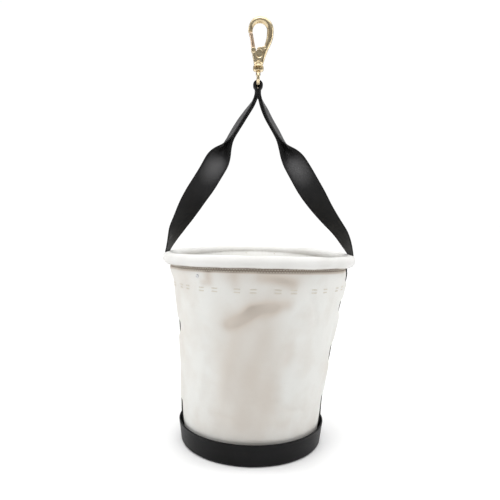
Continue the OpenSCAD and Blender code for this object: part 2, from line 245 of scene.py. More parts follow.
def webbing_shade(name, use_uv=True):
    s = Shade(name, Roughness=0.6, Sheen_Weight=0.1, Sheen_Roughness=0.45,
              Specular_IOR_Level=0.22)
    place = s.coords("Object")
    x, y, _ = s.split(s.coords("UV") if use_uv else place)
    saw = s.math("PINGPONG", s.math("MULTIPLY", x, 1000.0), 4.75)
    along = s.math("ADD", s.math("MULTIPLY", y, 1000.0), s.math("MULTIPLY", saw, 0.6))
    rib = s.math("ABSOLUTE", s.math("SINE", s.math("MULTIPLY", along, math.pi / 1.25)))
    cord = s.math("ABSOLUTE", s.math("SINE", s.math("MULTIPLY", x, 1000 * math.pi / 1.6)))
    height = s.math("ADD", s.math("MULTIPLY", rib, 0.65), s.math("MULTIPLY", cord, 0.35))
    cloud = s.noise(place, 30.0, 4.0)
    fuzz = s.noise(place, 1400.0, 2.0)
    colour = s.tint(rgb(0.003, 0.003, 0.003), rgb(0.009, 0.009, 0.010), 1.0, height, 0.2, 1.0)
    colour = s.tint(colour, rgb(0.016, 0.015, 0.015), 0.4, cloud, 0.4, 0.75)
    if use_uv:
        # Painted light: lighter grey as a painted sheen below 0.5, near black as painted shade
        # above it
        stain_and_painted_light = s.attribute("stain_and_painted_light")
        colour = s.tint(colour, rgb(0.085, 0.084, 0.086), 0.85, stain_and_painted_light, 0.5, 0.0)
        colour = s.tint(colour, rgb(0.002, 0.002, 0.002), 0.9, stain_and_painted_light, 0.5, 1.0)
    s.set("Base Color", colour)
    s.set("Roughness", s.span(fuzz, 0.3, 0.7, 0.48, 0.66))
    s.set("Normal", s.bump(height, 0.00016, 0.6, s.bump(cloud, 0.0008, 0.3)))
    return s.mat


def pan_shade(name):
    s = Shade(name, Roughness=0.42, Specular_IOR_Level=0.14)
    place = s.coords("Object")
    grain = s.noise(place, 900.0, 2.0, 0.6)
    cloud = s.noise(place, 18.0, 4.0)
    scuff = s.noise(s.scaled(place, 1.0, 1.0, 9.0), 90.0, 5.0, 0.65)
    edge = s.node("NewGeometry").outputs["Pointiness"]
    colour = s.tint(rgb(0.004, 0.004, 0.004), rgb(0.007, 0.007, 0.008), 1.0, cloud, 0.35, 0.7)
    colour = s.tint(colour, rgb(0.018, 0.018, 0.019), 0.4, scuff, 0.62, 0.8)
    colour = s.tint(colour, rgb(0.025, 0.025, 0.026), 0.3, edge, 0.53, 0.6)
    s.set("Base Color", colour)
    s.set("Roughness", s.span(s.math("ADD", scuff, s.math("MULTIPLY", cloud, 0.5)),
                              0.5, 1.0, 0.36, 0.56))
    s.set("Normal", s.bump(grain, 0.00008, 0.6, s.bump(cloud, 0.0006, 0.3)))
    return s.mat


def metal_shade(name, colour, worn, rough, brushed=False):
    s = Shade(name, Metallic=1.0, Roughness=rough)
    place = s.coords("Object")
    cloud = s.noise(place, 120.0, 4.0)
    pits = s.noise(place, 800.0, 3.0, 0.6)
    grain = (s.scaled(place, 400.0, 400.0, 14.0), 3.0) if brushed else (place, 2000.0)
    line = s.noise(*grain, 3.0)
    s.set("Base Color", s.tint(colour, worn, 1.0, cloud, 0.35, 0.7))
    s.set("Roughness", s.span(s.math("ADD", s.math("MULTIPLY", line, 0.5),
                                     s.math("MULTIPLY", pits, 0.5)),
                              0.35, 0.65, rough * 0.88, rough * 1.15))
    s.set("Normal", s.bump(pits, 0.00001, 0.25, s.bump(cloud, 0.00008, 0.3)))
    return s.mat


def thread_shade(name, colour, dark):
    s = Shade(name, Roughness=0.75, Sheen_Weight=0.2, Specular_IOR_Level=0.3)
    place = s.coords("Object")
    twist = s.node("TexWave", {"Vector": place, "Scale": 900.0, "Distortion": 1.5},
                   bands_direction="DIAGONAL").outputs["Fac"]
    s.set("Base Color", s.tint(colour, dark, 0.6, twist, 0.6, 0.0))
    s.set("Roughness", s.span(s.noise(place, 500.0), 0.3, 0.7, 0.65, 0.85))
    s.set("Normal", s.bump(twist, 0.00008, 0.7))
    return s.mat


CANVAS = canvas_shade("canvas_duck", rgb(0.775, 0.775, 0.745), rgb(0.60, 0.53, 0.46))
POCKET = canvas_shade("canvas_pocket", rgb(0.76, 0.74, 0.68), rgb(0.62, 0.57, 0.47))
RIM = canvas_shade("canvas_rim", rgb(0.79, 0.788, 0.775), rgb(0.66, 0.65, 0.625), 0.0006,
                   weave=0.00008)
WEBBING = webbing_shade("webbing_black")
WEBBING_CAD = webbing_shade("webbing_black_under", use_uv=False)
PAN = pan_shade("pan_moulded_black")
BRASS = metal_shade("brass_pale", rgb(0.715, 0.605, 0.405), rgb(0.57, 0.45, 0.275), 0.24)
GATE = metal_shade("brass_rosy", rgb(0.80, 0.61, 0.45), rgb(0.66, 0.48, 0.33), 0.26)
STEEL = metal_shade("steel_plated", rgb(0.60, 0.60, 0.61), rgb(0.42, 0.42, 0.43), 0.3, True)
THREAD = thread_shade("thread_ivory", rgb(0.72, 0.68, 0.58), rgb(0.42, 0.37, 0.28))
TACK = thread_shade("thread_tack", rgb(0.72, 0.68, 0.60), rgb(0.48, 0.43, 0.35))
BLACK = thread_shade("thread_black", rgb(0.03, 0.03, 0.032), rgb(0.008, 0.008, 0.009))

# ------------ meshes


def piece(name, points, faces, material, body, node, slot, uv=None, stain_and_painted_light=None, hang=True,
          merge=False):
    """A smooth mesh from points in millimetres. uv is one pair for each face corner. It rides
    on a body and stands for a node, where one is named."""
    mesh = bpy.data.meshes.new(name)
    points = np.reshape(points, (-1, 3))
    mesh.from_pydata(((hung(points) if hang else points) * MM).tolist(), [],
                     [list(map(int, f)) for f in faces])
    if uv is not None:
        layer = mesh.uv_layers.new(name="cloth")
        layer.data.foreach_set("uv", np.asarray(uv, np.float32).ravel())
    # Each point's stains and painted light and shade, for the canvas and webbing shaders
    if stain_and_painted_light is not None:
        mark = mesh.attributes.new("stain_and_painted_light", "FLOAT", "POINT")
        mark.data.foreach_set("value", np.asarray(stain_and_painted_light, np.float32).ravel())
    mesh.polygons.foreach_set("use_smooth", np.ones(len(mesh.polygons), bool))
    obj = bpy.data.objects.new(name, mesh)
    scene.collection.objects.link(obj)
    mesh.materials.append(material)
    tidy_normals(obj, merge)
    if body:
        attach(obj, body)
    if node:
        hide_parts(node)
    return obj


def tidy_normals(obj, merge):
    bm = bmesh.new()
    bm.from_mesh(obj.data)
    if merge:
        bmesh.ops.remove_doubles(bm, verts=bm.verts, dist=1e-6)
    bmesh.ops.recalc_face_normals(bm, faces=bm.faces)
    bm.to_mesh(obj.data)
    bm.free()
    obj.data.update()


def loft(rings, uv, closed, lap):
    """Faces and UVs of closed rings, shape (n, m, 3), with uv (n, m, 2) in millimetres.
    A closed loft joins its last ring to its first, lap further along the first UV axis."""
    n, m = rings.shape[:2]
    faces, corners = [], []
    for i in range(n if closed else n - 1):
        a = (i + 1) % n
        extra = np.array([lap if a == 0 else 0.0, 0.0])
        for j in range(m):
            b = (j + 1) % m
            faces.append((i * m + j, a * m + j, a * m + b, i * m + b))
            corners += [uv[i, j], uv[a, j] + extra, uv[a, b] + extra, uv[i, b]]
    if not closed:
        for i, order in ((0, range(m)), (n - 1, range(m - 1, -1, -1))):
            faces.append(tuple(i * m + j for j in order))
            corners += [uv[i, j] for j in order]
    return faces, np.array(corners) * MM


def cloth(name, rings, uv, material, body, node, slot, stain_and_painted_light=None, closed=False, lap=0.0):
    """A piece lofted through rings of points."""
    faces, corners = loft(rings, uv, closed, lap)
    return piece(name, rings, faces, material, body, node, slot, corners, stain_and_painted_light)


def lathe(outline, turns):
    """A closed outline of (radius, height) points turned about the axis."""
    r, z = np.array(outline, float).T
    rings = round_points(r, (np.arange(turns) * 2 * math.pi / turns)[:, None], z)
    faces, _ = loft(rings, np.zeros(rings.shape[:2] + (2,)), True, 0.0)
    return rings.reshape(-1, 3), faces


def strip_section(width, fold=0.0, thick=WEB_T, bend=2.0, lean=1.0, side=22):
    """Closed outline of a strip's cross-section, folded lengthwise by fold degrees.
    lean 1 keeps one half flat; lean 0 turns both halves up alike.
    Gives (points, across) where across is the place on the flat strip."""
    half = width / 2
    core = np.sin(np.linspace(0, math.pi / 2, side))
    s = np.concatenate([-half * core[::-1], half * core[1:]])
    fine = np.linspace(-half, half, 801)
    turn = fold * DEG / 2 * np.clip(fine / bend, -1, 1)
    step = fine[1] - fine[0]
    mid = (turn[1:] + turn[:-1]) / 2
    x = np.concatenate([[0], np.cumsum(np.cos(mid) * step)])
    y = np.concatenate([[0], np.cumsum(np.sin(mid) * step)])
    turn = turn - lean * fold * DEG / 2
    c, d = math.cos(lean * fold * DEG / 2), math.sin(lean * fold * DEG / 2)
    x, y = x * c + y * d, y * c - x * d
    x -= (x.max() + x.min()) / 2
    y -= (y.max() + y.min()) / 2
    px, py, pt = (np.interp(s, fine, v) for v in (x, y, turn))
    edge = np.clip((np.abs(s) - (half - thick / 2)) / (thick / 2), 0, 1)
    h = thick / 2 * np.sqrt(np.clip(1 - edge * edge, 0, 1))
    up = np.stack([px - np.sin(pt) * h, py + np.cos(pt) * h], -1)
    down = np.stack([px + np.sin(pt) * h, py - np.cos(pt) * h], -1)
    return np.concatenate([up, down[::-1][1:-1]]), np.concatenate([s, s[::-1][1:-1]])


def ring_of(centre, along, across, section):
    """A cross-section set at a point, with its width along across."""
    normal = np.cross(along, across)
    return centre + np.outer(section[:, 0], across) + np.outer(section[:, 1], normal)


def threads(name, spots, length, material, body, node, slot="thread", radius=0.42):
    """A piece made of one short rounded thread at each spot: its middle, its way and its up."""
    lat, lon = 5, 7
    bead = np.array([(-math.cos(a) * 0.5, math.sin(a) * math.cos(b), math.sin(a) * math.sin(b))
                     for a in (math.pi * i / lat for i in range(lat + 1))
                     for b in (2 * math.pi * j / lon for j in range(lon))])
    flat = [(i * lon + j, i * lon + k, (i + 1) * lon + k, (i + 1) * lon + j)
            for i in range(lat) for j, k in ((j, (j + 1) % lon) for j in range(lon))]
    points, faces = [], []
    for c, w, u in spots:
        w = unit(w)
        side = unit(np.cross(w, u))
        up = np.cross(side, w)
        faces += [tuple(f + len(points) * len(bead) for f in q) for q in flat]
        points.append(c + bead @ np.array([w * length, side * radius, up * radius * 0.8]))
    piece(name, np.concatenate(points), faces, material, body, node, slot)


# ------------ solid shapes by distance


def skin(field, low, step):
    """A smooth surface round the cells where the field is below zero."""
    cells = tuple(n - 1 for n in field.shape)
    total, count = np.zeros(cells + (3,)), np.zeros(cells)
    crossings = []
    for a in range(3):
        order = (a, (a + 1) % 3, (a + 2) % 3)
        f = np.transpose(field, order)
        sums = np.transpose(total, order + (3,))
        seen = np.transpose(count, order)
        f0, f1 = f[:-1], f[1:]
        cross = (f0 < 0) != (f1 < 0)
        t = np.where(cross, f0 / np.where(cross, f0 - f1, 1), 0)
        nb, nc = f.shape[1] - 1, f.shape[2] - 1
        i = np.arange(f0.shape[0])[:, None, None]
        jb = np.arange(nb)[None, :, None]
        kc = np.arange(nc)[None, None, :]
        for j in (0, 1):
            for k in (0, 1):
                e = cross[:, j:nb + j, k:nc + k]
                sums[..., order[0]] += np.where(e, i + t[:, j:nb + j, k:nc + k], 0)
                sums[..., order[1]] += e * (jb + j)
                sums[..., order[2]] += e * (kc + k)
                seen += e
        crossings.append((order, cross, f0 < 0))
    used = count > 0
    index = np.full(cells, -1)
    index[used] = np.arange(used.sum())
    points = total[used] / count[used][:, None]
    faces = []
    for order, cross, solid in crossings:
        ids = np.transpose(index, order)
        i, j, k = np.nonzero(cross[:, 1:-1, 1:-1])
        j, k = j + 1, k + 1
        quad = np.stack([ids[i, j - 1, k - 1], ids[i, j, k - 1], ids[i, j, k],
                         ids[i, j - 1, k]], -1)
        back = ~solid[i, j, k]
        quad[back] = quad[back][:, ::-1]
        faces.append(quad)
    return np.asarray(low) + points * step, np.concatenate(faces)


def solid(low, high, step, shape):
    """Points and faces of a shape given as a distance function of X, Y, Z."""
    axes = [np.arange(a, b + step, step) for a, b in zip(low, high)]
    x, y, z = np.meshgrid(*axes, indexing="ij")
    return skin(shape(x, y, z), low, step)


def bar(x, y, z, path, flat=1.0):
    """Distance to a round bar through (x, y, z, radius) points. flat squeezes it along Y."""
    best = np.full(x.shape, 1e3)
    for p, q in zip(path[:-1], path[1:]):
        a, b = np.array(p[:3], float), np.array(q[:3], float)
        d = b - a
        t = ((x - a[0]) * d[0] + (y - a[1]) * d[1] + (z - a[2]) * d[2]) / (d @ d)
        t = np.clip(t, 0, 1)
        gap = np.sqrt((x - a[0] - t * d[0]) ** 2 + ((y - a[1] - t * d[1]) * flat) ** 2
                      + (z - a[2] - t * d[2]) ** 2)
        best = np.minimum(best, gap - (p[3] + t * (q[3] - p[3])))
    return best


def rounded(a, b, corner):
    """Where two distances meet, with a rounded edge."""
    return np.minimum(np.maximum(a, b), 0) + np.hypot(np.maximum(a, 0), np.maximum(b, 0)) - corner


def post(x, y, z, low, high, radius, corner=0.5):
    """An upright cylinder about the Z axis with rounded corners."""
    a = np.hypot(x, y) - (radius - corner)
    b = np.abs(z - (low + high) / 2) - ((high - low) / 2 - corner)
    return rounded(a, b, corner)


def pin(x, y, z, cx, cz, radius, half, corner=0.5):
    """A cylinder along Y."""
    a = np.hypot(x - cx, z - cz) - (radius - corner)
    b = np.abs(y) - (half - corner)
    return rounded(a, b, corner)


def plate(x, y, z, outline, half, corner=0.6):
    """A flat plate in the X-Z plane with a convex outline, given anticlockwise."""
    a = np.full(x.shape, -1e3)
    for p, q in zip(outline, outline[1:] + outline[:1]):
        d = unit(np.array(q, float) - np.array(p, float))
        a = np.maximum(a, (x - p[0]) * d[1] - (z - p[1]) * d[0])
    a, b = a + corner, np.abs(y) - (half - corner)
    return rounded(a, b, corner)


def melt(a, b, k):
    """The union of two distances with a fillet of about k."""
    h = np.clip(0.5 + 0.5 * (b - a) / k, 0, 1)
    return b + (a - b) * h - k * h * (1 - h)


def carve(a, b, k):
    """Shape a with shape b taken away."""
    return -melt(-a, b, k)


# ------------ camera and light

CAMERA_LENS, CAMERA_DOWN, CAMERA_ROLL = 37.5, 3.9, 1.2
camera_data = bpy.data.cameras.new("camera")
camera_data.lens, camera_data.sensor_width = CAMERA_LENS, 36
camera = bpy.data.objects.new("camera", camera_data)
scene.collection.objects.link(camera)
camera.rotation_mode = "QUATERNION"
camera.location = (-0.0073, -0.8565, 0.3716)
down = Euler(((90 - CAMERA_DOWN) * DEG, 0, 0)).to_matrix()
aim = down @ Matrix.Rotation(CAMERA_ROLL * DEG, 3, "Z")
camera.rotation_quaternion = aim.to_quaternion()
scene.camera = camera

world = bpy.data.worlds.new("studio")
scene.world = world
sky = Nodes(world)
# The camera sees an even white; the object is lit by a room that is brighter higher up
seen = sky.tree.nodes["Background"]
seen.inputs["Color"].default_value = rgb(1.0, 1.0, 1.0)
seen.inputs["Strength"].default_value = 1.02
glow = sky.span(sky.split(sky.coords("Generated"))[2], 0.10, 0.40, 0.06, 0.5, "SMOOTHSTEP")
room = sky.node("Background", {"Color": rgb(1.0, 1.0, 1.0), "Strength": glow})
by_camera = sky.node("LightPath").outputs["Is Camera Ray"]
choose = sky.node("MixShader", {0: by_camera, 1: room.outputs[0], 2: seen.outputs[0]})
sky.tree.links.new(choose.outputs[0], sky.tree.nodes["World Output"].inputs["Surface"])


def point_at(obj, spot, way):
    """Adds a lamp at a spot, looking along a direction."""
    scene.collection.objects.link(obj)
    obj.location = spot
    obj.rotation_mode = "QUATERNION"
    obj.rotation_quaternion = Vector(way).to_track_quat("-Z", "Y")


def lamp(name, spot, target, size, power):
    data = bpy.data.lights.new(name, "AREA")
    data.shape = "RECTANGLE"
    data.size, data.size_y = size
    data.energy = power
    point_at(bpy.data.objects.new(name, data), spot, Vector(target) - Vector(spot))


MIDDLE = (0, 0, 0.3)
lamp("left", (-1.5, 0.1, 0.7), MIDDLE, (0.6, 1.5), 8)
lamp("right", (1.5, 0.1, 0.7), MIDDLE, (0.6, 1.5), 7)
lamp("front", (-0.2, -0.8, 2.0), (0, 0.1, 0.3), (0.8, 0.6), 5.5)
lamp("rear", (0.3, 1.9, 1.4), MIDDLE, (0.9, 0.9), 4)
fill = bpy.data.lights.new("mouth", "SPOT")
fill.energy, fill.shadow_soft_size = 30, 0.1
fill.spot_size, fill.spot_blend = 18 * DEG, 1.0
point_at(bpy.data.objects.new("mouth", fill), (0, -0.7, 0.76), (0, 0.835, -0.465))
overhead = bpy.data.lights.new("overhead", "SUN")
overhead.energy = 2.1
overhead.angle = 90 * DEG
scene.collection.objects.link(bpy.data.objects.new("overhead", overhead))

floor_mesh = bpy.data.meshes.new("floor")
reach = 60.0
floor_mesh.from_pydata([(-reach, -reach, 0), (reach, -reach, 0), (reach, reach, 0),
                        (-reach, reach, 0)], [], [(0, 1, 2, 3)])
floor = bpy.data.objects.new("floor", floor_mesh)
scene.collection.objects.link(floor)
paper = Shade("floor_paper", Roughness=0.9, Specular_IOR_Level=0.1)
grain = paper.noise(paper.coords("Object"), 3.0, 3.0)
paper.set("Base Color", paper.mix(grain, rgb(0.93, 0.93, 0.93), rgb(0.95, 0.95, 0.95)))
floor_mesh.materials.append(paper.mat)
scene.view_settings.view_transform = "Standard"

# ------------ canvas wall

SLOPE = (TOP_R - FOOT_R) / (CANVAS_TOP_Z - CANVAS_Z0)
FRONT = -math.pi / 2
# Belly of the wall at a few heights, in millimetres off the plain cone
BELLY_Z = [5.6, 37, 64, 95, 146, 196, 257, 290, 299]
BELLY = [0.0, 0.0, -0.6, -1.9, -0.9, -1.3, 0.5, 0.0, 0.0]
# Creases: azimuths from the front in degrees and heights, depth, half width, tint of painted
# crease shade
CREASES = [
    ([(-19, 214), (-14, 219), (-8, 228), (-3, 238), (5, 245), (17, 246)], 1.6, 7.0, 0.75),
    ([(-3, 231), (3, 229), (10, 237)], 0.7, 6.0, 0.35),
    ([(1, 287), (9, 283), (19, 275)], 1.0, 6.5, 0.6),
    ([(-31.7, 294), (-31.5, 276), (-36, 275)], 1.1, 4.5, 0.6),
    ([(-15, 286), (-14.5, 273)], 0.6, 6.0, 0.4),
    ([(22, 184), (24, 172), (22.5, 160)], 0.8, 7.0, 0.25),
    ([(30, 262), (37, 240), (41, 214)], 0.9, 6.0, 0.05),
    ([(-46, 240), (-38, 226), (-30, 222)], 0.8, 6.0, 0.05),
    ([(18, 96), (28, 82), (40, 78)], 0.8, 5.0, 0.1),
    ([(-40, 92), (-28, 76), (-14, 72)], 0.8, 5.0, 0.1),
    ([(110, 250), (125, 236), (138, 240)], 1.2, 5.5, 0.25),
    ([(-120, 120), (-132, 150), (-140, 190)], 1.0, 6.0, 0.2),
    ([(165, 200), (176, 186), (190, 190)], 1.2, 5.0, 0.3),
]
# Partly stains, partly painted shade: the beige column down the front middle stands in for shade
# Soft marks: azimuth and height of the middle, half width and height in millimetres, tint
MARKS = [
    (-4.5, 215, 50, 34, 0.4), (-4.5, 160, 52, 44, 0.62), (-4.5, 75, 50, 58, 0.6),
    (10, 281, 30, 8, 0.35), (-12, 224, 22, 14, 0.35), (2, 240, 24, 9, 0.35),
    (0, 287, 70, 12, 0.3), (-32, 281, 9, 12, 0.35), (23, 172, 10, 16, 0.1), (24, 62, 14, 9, 0.2),
    (8, 262, 40, 14, 0.25), (180, 120, 50, 70, 0.35), (150, 240, 26, 20, 0.3),
    (-140, 90, 30, 22, 0.3),
]
# Where the canvas puffs out beside each side strap: the strap's azimuth, the side of it, how
# far, where it ends at the top, and the (height, half length) of each stretch that stays flat
PUFFS = [
    (0, -1, 3.6, 284, [(280, 9), (231, 13), (153, 18), (66, 20)]),
    (0, 1, 2.6, 284, [(250, 30), (120, 40)]),
    (180, -1, 2.6, 284, [(210, 30), (90, 30)]),
    (180, 1, 3.6, 300, [(192, 13), (60, 12)]),
]


def off_polyline(turn, z, line):
    """Distance in millimetres on the wall from a line of (azimuth, height) points."""
    x = wrap(turn - FRONT) * FLAT_R
    best = np.full(np.broadcast(x, z).shape, 1e3)
    pts = [(a * DEG * FLAT_R, h) for a, h in line]
    for (ax, az), (bx, bz) in zip(pts[:-1], pts[1:]):
        dx, dz = bx - ax, bz - az
        t = np.clip(((x - ax) * dx + (z - az) * dz) / (dx * dx + dz * dz), 0, 1)
        best = np.minimum(best, np.hypot(x - ax - t * dx, z - az - t * dz))
    return best


def held(turn, z):
    """0 where the wall is held by the pan, rim or side straps, 1 where it is free."""
    side = np.abs(np.sin(turn + 0 * z))
    return hill(34, 80, 262, 292, z) * smooth(0.16, 0.45, side)


def wall_r(turn, z):
    """Outer radius of the hung canvas."""
    r = FOOT_R + SLOPE * (z - CANVAS_Z0) + np.interp(z, BELLY_Z, BELLY)
    free = held(turn, z)
    r = r + free * (1.5 * waves(3, turn, z, 9, (2, 6), (0.008, 0.03))
                    + 0.6 * waves(5, turn, z, 12, (7, 18), (0.02, 0.07)))
    r = r + 0.35 * waves(8, turn, z, 12, (14, 34), (0.02, 0.1)) * smooth(34, 60, z)
    r = r - 1.3 * smooth(289, 299, z)
    left = np.maximum(-np.cos(turn), 0) ** 2
    r = r - 4.6 * left * hill(60, 150, 266, 292, z)
    r = r + 2.0 * np.maximum(np.cos(turn), 0) ** 4 * hill(255, 275, 282, 296, z)
    for side, way, puff, top, flats in PUFFS:
        off = way * ((turn / DEG - side + 180) % 360 - 180)
        full = 1 + 0 * z
        for height, half in flats:
            full = full * (1 - np.exp(-((z - height) / half) ** 4))
        r = r + puff * hill(8.3, 11.5, 12, 23, off) * full * hill(40, 80, top - 8, top + 8, z)
        r = r - 0.9 * hill(-1, 0, 8.3, 10.5, off) * hill(42, 70, 268, 286, z)
    for line, depth, half, _ in CREASES:
        d = off_polyline(turn, z, line)
        r = r - depth * (np.exp(-(d / half) ** 2) - 0.4 * np.exp(-(d / (2.3 * half)) ** 2))
    return r


def wall_stain_and_shade(turn, z):
    """Stains and painted crease shade, up to about 1; painted shadow up to 2 at the join under
    the roll.
    """
    out = np.zeros(np.broadcast(turn, z).shape)
    for line, _, half, tint in CREASES:
        out = out + tint * np.exp(-(off_polyline(turn, z, line) / (1.3 * half)) ** 2)
    away = wrap(turn - FRONT)
    for azimuth, height, wide, tall, tint in MARKS:
        x = wrap(away - azimuth * DEG) * FLAT_R
        out = out + tint * np.exp(-(x / wide) ** 4 - ((z - height) / tall) ** 2)
    cloud = 1 + 0.2 * waves(21, turn, z, 12, (3, 20), (0.02, 0.09))
    out = np.minimum(out, 1.15) * cloud + 0.05 * waves(22, turn, z, 12, (3, 26), (0.02, 0.1))
    # Painted shadow under the overhang of the roll
    roll_shadow = smooth(288.5, 293.5, z) * (1.7 + 0.4 * np.cos(away - 8 * DEG))
    return np.clip(out + roll_shadow, 0, 2)


def sway(z):
    """How far the soft parts lean to +X at a height."""
    return 7.6 * hill(37, 300, 318, 400, z) - 2.6 * hill(440, 490, 522, 558, z)


def hung(points):
    """The soft parts as they hang: they lean, and the straps' weight draws the rim down
    a little at its two sides. The pan and the snap stay where they are."""
    points = np.array(points, float)
    x, y, z = points[..., 0], points[..., 1], points[..., 2]
    side = x * x / np.maximum(x * x + y * y, 1.0)
    down = 6.5 * side * hill(140, 300, 316, 352, z)
    return np.stack([x + sway(z), y, z - down], -1)


def round_points(r, turn, z):
    """Points at a radius, a turn about the axis and a height."""
    return np.stack(np.broadcast_arrays(r * np.cos(turn), r * np.sin(turn), z), -1)


def wall_point(turn, z, lift=0.0):
    """A point on the wall's outside, lifted off it, and the ways round and out from there."""
    r = float(wall_r(np.array(turn), np.array(z))) + lift
    out = np.array([math.cos(turn), math.sin(turn), 0])
    return r * out + np.array([0, 0, z]), np.array([-math.sin(turn), math.cos(turn), 0]), out


def both_sides(first, second=None):
    """Rows that go along one side of a cloth and back along the other."""
    return np.concatenate([first, (first if second is None else second)[:, ::-1]], 1)


def wall_piece(name, start, node, steps=170, rows=116):
    """Half of the wall, from an azimuth in degrees."""
    turn = (start + np.linspace(0.02, 179.98, steps))[:, None] * DEG
    z = np.linspace(CANVAS_Z0, CANVAS_TOP_Z, rows)[None, :]
    outer = wall_r(turn, z)
    rings = both_sides(round_points(outer, turn, z), round_points(outer - CANVAS_T, turn, z))
    uv = both_sides(np.stack(np.broadcast_arrays(turn * FLAT_R, z), -1))
    obj = cloth(name, rings, uv, CANVAS, "bucket", node, "canvas",
                both_sides(wall_stain_and_shade(turn, z)))


wall_piece("wall_front", 180, "canvas_front")
wall_piece("wall_back", 0, "canvas_back")


def bottom_cloth():
    """The round of canvas that lies in the pan."""
    edge_r = 106.5
    rings_r = np.linspace(0.5, edge_r, 46)
    turn = (np.arange(120) * 3 * DEG)[:, None]
    wave = 0.25 * waves(31, turn, rings_r[None, :], 10, (2, 12), (0.03, 0.12))
    wave = wave * hill(10, 60, 95, 106, rings_r)[None, :]
    rings = both_sides(round_points(rings_r, turn, CANVAS_Z0 + CANVAS_T + wave),
                       round_points(rings_r, turn, CANVAS_Z0 + 0.05))
    obj = cloth("bottom_cloth", rings, rings[..., :2], CANVAS, "bucket", "canvas_bottom",
                "canvas", np.full(rings.shape[:2], 0.2), closed=True)


bottom_cloth()

# ------------ rim


def rim_roll():
    """The binding: up the inside of the wall from its hem, and rolled over the hoop."""
    thick = 1.5
    mid_r = ROLL_R - thick / 2
    inner = FOOT_R + SLOPE * (HEM_Z - CANVAS_Z0) - CANVAS_T - 0.2 - thick / 2
    line = [(inner + SLOPE * (z - HEM_Z), z) for z in np.linspace(HEM_Z, 298.5, 6)]
    bend = (212, -128, 52)
    line = np.array(line + arc(RIM_C, RIM_Z, mid_r, *bend))
    out, along = left_of(line), run(line)
    steps = 480
    turn = (np.arange(steps) * 2 * math.pi / steps)[:, None]
    tuck = np.exp(-((along - along[-1]) / 9.0) ** 2) + 0.7 * np.exp(-((along - 12) / 6.0) ** 2)
    pucker = 0.42 * waves(41, turn, along[None, :], 16, (60, 150), (0.02, 0.12)) * tuck
    soft = 0.3 * waves(43, turn, along[None, :], 12, (4, 22), (0.01, 0.05))
    soft = soft * smooth(12, 20, along)[None, :]
    offset = pucker + soft
    rings = both_sides(*[round_points(line[:, 0] + out[:, 0] * off, turn,
                                      line[:, 1] + out[:, 1] * off)
                         for off in (offset + thick / 2, offset - thick / 2)])
    uv = both_sides(np.stack(np.broadcast_arrays(turn * RIM_C, along), -1))
    stain_and_painted_light = (0.05 + 0.5 * smooth(8, 14, along)[None, :]
            + 0.25 * waves(47, turn, along[None, :], 12, (4, 30), (0.02, 0.1)))
    # Painted shade on the underside of the roll
    below = 1 - smooth(-80, -32, np.concatenate([np.full(6, bend[0]), np.linspace(*bend)]))
    stain_and_painted_light = both_sides(np.clip(stain_and_painted_light + UNDER_ROLL_SHADE * below[None, :], 0, 2))
    obj = cloth("rim_roll", rings, uv, RIM, "bucket", "rim_binding", "rim_canvas", stain_and_painted_light,
                closed=True, lap=2 * math.pi * RIM_C)


rim_roll()


def hoop_ring():
    points, faces = lathe(arc(RIM_C, RIM_Z, HOOP_R, 0, 345, 24), 160)
    piece("hoop_ring", points, faces, PAN, "bucket", "rim_hoop", "hoop_core")


hoop_ring()


def rivet():
    """A small domed rivet through the wall, left of the front."""
    turn, z, tilt = FRONT - 40 * DEG, 284.0, math.atan(SLOPE)
    outline = [(0.02, -CANVAS_T - 1.0), (2.4, -CANVAS_T - 1.0), (2.8, -CANVAS_T - 0.6),
               (2.8, -CANVAS_T - 0.1), (1.2, -CANVAS_T - 0.05), (1.2, 0.05), (2.9, 0.1),
               (2.9, 0.45), (2.3, 0.95), (1.4, 1.15), (1.1, 0.85), (0.02, 0.8)]
    points, faces = lathe(outline, 40)
    out = np.array([math.cos(turn) * math.cos(tilt), math.sin(turn) * math.cos(tilt),
                    -math.sin(tilt)])
    side = np.array([-math.sin(turn), math.cos(turn), 0])
    up = np.cross(out, side)
    placed = hung(wall_point(turn, z)[0]) + points @ np.array([side, up, out])
    piece("rivet_domed", placed, faces, STEEL, "bucket", "wall_rivet", "rivet_steel",
          hang=False, merge=True)


rivet()


def rim_slits():
    """The turned edge of the opening in the roll that each strap comes out of."""
    count, ring_n, thick = 72, 8, 0.75
    half_y, half_x = WEB_W / 2 + 0.9, WEB_T / 2 + 0.8
    a = np.arange(count) * 2 * math.pi / count
    y = half_y * np.sign(np.sin(a)) * np.abs(np.sin(a)) ** 0.35
    x = half_x * np.sign(np.cos(a)) * np.abs(np.cos(a)) ** 0.6
    dist = STRAP_R + x
    x = np.sqrt(dist ** 2 - y ** 2)
    drop = np.clip(dist - RIM_C, -ROLL_R, ROLL_R * 0.985)
    z = RIM_Z + np.sqrt(ROLL_R ** 2 - drop ** 2) + 0.1
    path = np.stack([x, y, z], -1)
    way = unit(np.roll(path, -1, 0) - np.roll(path, 1, 0))
    up = unit(np.stack([drop * x / dist, drop * y / dist, z - RIM_Z], -1))
    side = unit(np.cross(way, up))
    up = np.cross(side, way)
    b = np.arange(ring_n) * 2 * math.pi / ring_n
    rings = (path[:, None, :] + thick * np.cos(b)[None, :, None] * side[:, None, :]
             + thick * np.sin(b)[None, :, None] * up[:, None, :])
    uv = np.stack(np.broadcast_arrays((a * 6)[:, None], b), -1)
    for name, sign in (("slit_edge_right", 1), ("slit_edge_left", -1)):
        cloth(name, rings * np.array([sign, 1, 1]), uv, RIM, "bucket", None, "rim_canvas",
              closed=True, lap=12 * math.pi)


rim_slits()


def stitch_ring():
    """Two rows of thread round the wall under the roll, apart from behind the straps."""
    spots = []
    count, clear = 214, 8.6 * DEG
    for z, shift in ((292.5, 0), (295.5, 0.5)):
        for k in range(count):
            turn = (k + shift) * 2 * math.pi / count
            if abs(math.sin(turn)) > math.sin(clear):
                spots.append(wall_point(turn, z, 0.2))
    threads("rim_threads", spots, 3.4, THREAD, "bucket", "rim_stitching")


stitch_ring()


